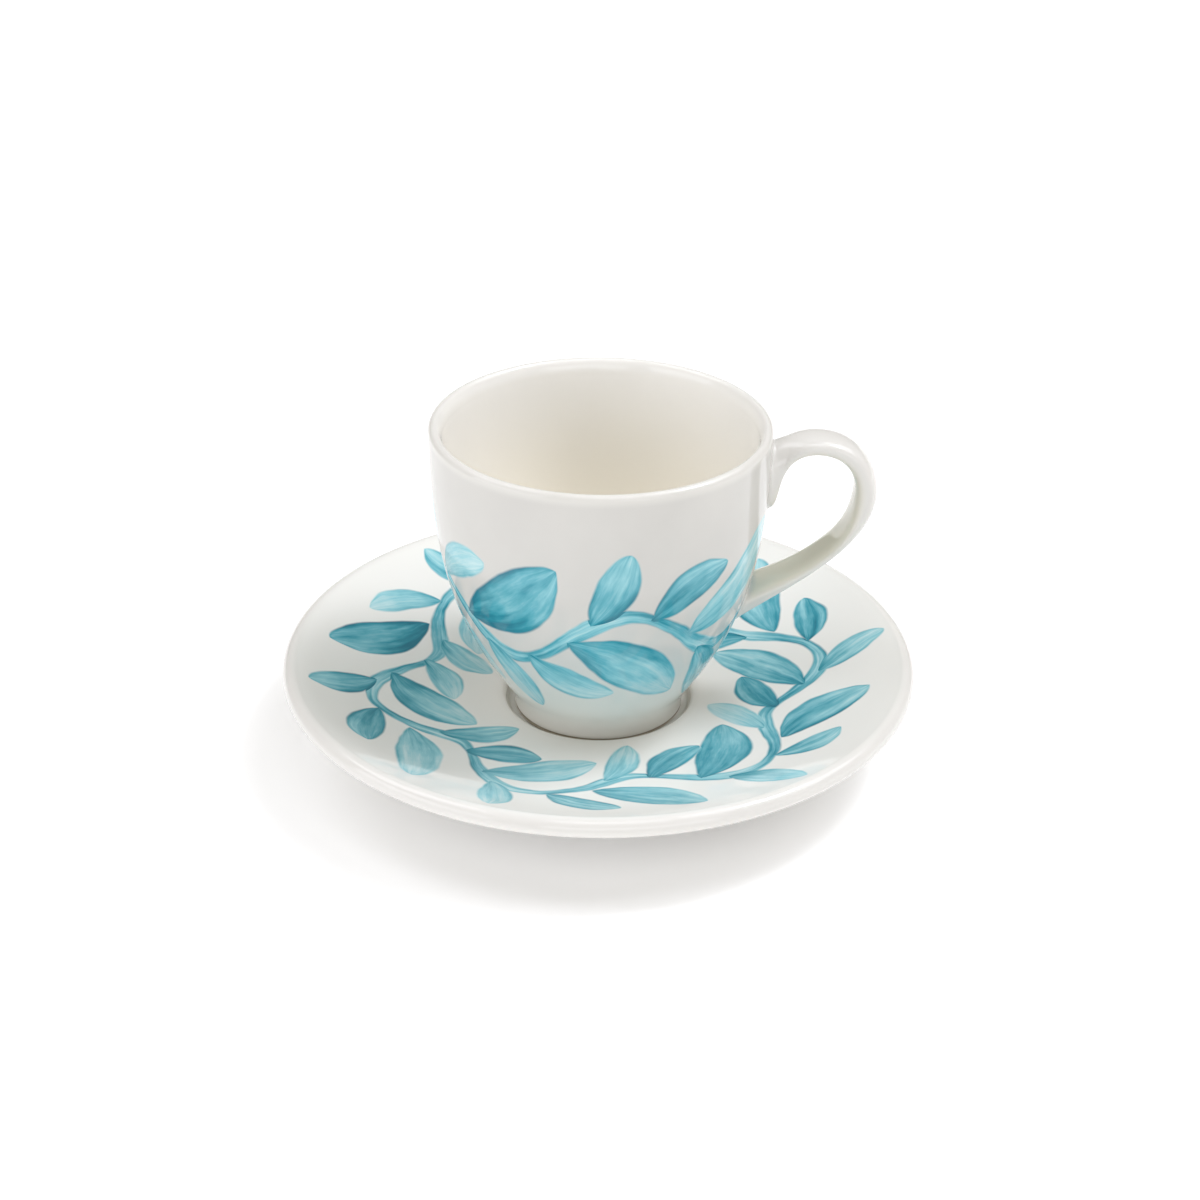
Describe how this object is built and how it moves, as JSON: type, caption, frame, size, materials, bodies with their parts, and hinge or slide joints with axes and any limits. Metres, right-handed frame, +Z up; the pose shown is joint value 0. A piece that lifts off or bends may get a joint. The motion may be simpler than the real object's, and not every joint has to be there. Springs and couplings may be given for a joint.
{
  "type": "espresso cup with saucer",
  "caption": "Small tapered espresso cup with a strap handle, standing loose in the sunken well of a round saucer with an upturned rim.",
  "frame": {"origin": "on the table, below the middle of the saucer", "axes": "+Z up, +X from the cup's axis towards its handle, +Y to the left of that"},
  "size_m": [0.12, 0.12, 0.0653],
  "materials": {
    "cup_glaze": "glossy warm white glaze with brushed turquoise decoration on the outside",
    "handle_glaze": "glossy warm white glaze",
    "saucer_glaze": "glossy warm white glaze with brushed turquoise decoration on the upper face"
  },
  "bodies": {
    "saucer": {"saucer": "saucer_glaze"},
    "cup": {"cup_body": "cup_glaze", "cup_handle": "handle_glaze"}
  },
  "joints": [
    {"name": "cup_lift", "type": "slide", "parent": "saucer", "child": "cup", "axis": [0, 0, 1], "range_m": [0, 0.08]}
  ]
}
